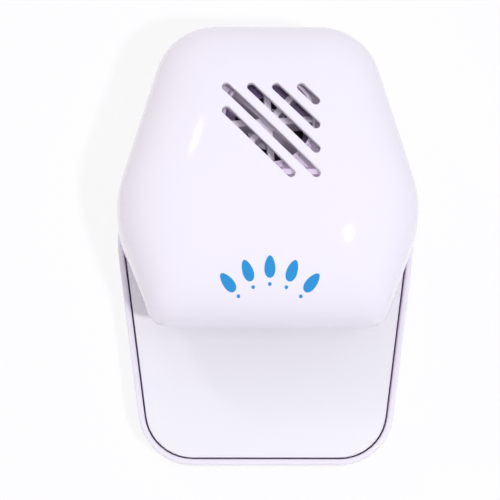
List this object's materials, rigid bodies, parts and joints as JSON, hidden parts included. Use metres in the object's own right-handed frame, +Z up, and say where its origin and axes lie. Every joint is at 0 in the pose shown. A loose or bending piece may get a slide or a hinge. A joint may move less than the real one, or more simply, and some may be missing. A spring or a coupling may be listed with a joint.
{
  "type": "nail dryer",
  "caption": "Battery nail polish dryer: a rounded hood with slanted vent slots holds a fan that blows over a press-down finger plate in a low tray.",
  "frame": {"origin": "on the table under the middle of the footprint, at the bottom of the feet", "axes": "+X to the right seen from the front, +Y from the tray's front to the back of the hood, +Z up"},
  "size_m": [0.0882, 0.126, 0.06],
  "materials": {
    "shell": "smooth glossy white ABS",
    "inner_white": "moulded white ABS, satin",
    "foot_rubber": "matt",
    "fan_plastic": "moulded, satin",
    "motor_black": "black lacquered steel",
    "magnet": "dark ferrite, stands for a ceramic magnet",
    "winding": "lacquered copper wire over an iron core",
    "steel": "ground",
    "bush": "sintered bronze",
    "dark_plastic": "moulded, matt",
    "contact": "nickel-plated brass",
    "zinc_steel": "zinc-plated",
    "cell_wrap": "printed film over a steel can",
    "switch_cap": "moulded",
    "wire_red": "PVC insulation",
    "wire_black": "PVC insulation"
  },
  "bodies": {
    "case": {"hood": "shell", "base_tub": "shell", "rubber_feet": "foot_rubber", "air_panel": "inner_white", "outlet_grille": "inner_white", "fan_cover": "inner_white", "fan_housing": "inner_white", "motor_can": "motor_black", "motor_magnets": "magnet", "motor_bushes": "bush", "motor_end_cap": "dark_plastic", "motor_terminals": "contact", "motor_clamp": "zinc_steel", "battery_a": "cell_wrap", "battery_b": "cell_wrap", "battery_springs": "steel", "battery_contacts": "contact", "switch_body": "dark_plastic", "switch_terminals": "contact", "plate_springs": "steel", "wire_red": "wire_red", "wire_black": "wire_black", "wire_switch": "wire_red", "case_screws": "zinc_steel", "clamp_screws": "zinc_steel", "cover_screws": "zinc_steel"},
    "plate": {"press_plate": "shell"},
    "plunger": {"switch_plunger": "switch_cap"},
    "fan": {"impeller": "fan_plastic", "motor_shaft": "steel", "motor_armature": "winding"},
    "door": {"battery_door": "shell"}
  },
  "joints": [
    {"name": "plate_press", "type": "hinge", "parent": "case", "child": "plate", "pos_m": [0, 0.0094, 0.011], "axis": [1, 0, 0], "range_deg": [0, 2.2], "stiffness_Nm_per_rad": 1.2, "springref_deg": -2.01, "deforming": ["plate_springs"]},
    {"name": "plunger_slide", "type": "slide", "parent": "case", "child": "plunger", "axis": [0, 0, -1], "range_m": [0, 0.0009]},
    {"name": "fan_spin", "type": "hinge", "parent": "case", "child": "fan", "pos_m": [0, 0.0314, 0.045], "axis": [0, 0, 1], "continuous": true},
    {"name": "door_swing", "type": "hinge", "parent": "case", "child": "door", "pos_m": [0, 0.019, 0.0025], "axis": [-1, 0, 0], "range_deg": [0, 88]}
  ],
  "couplings": [
    {"joint": "plunger_slide", "follows": "plate_press", "m_per_rad": 0.0215}
  ]
}
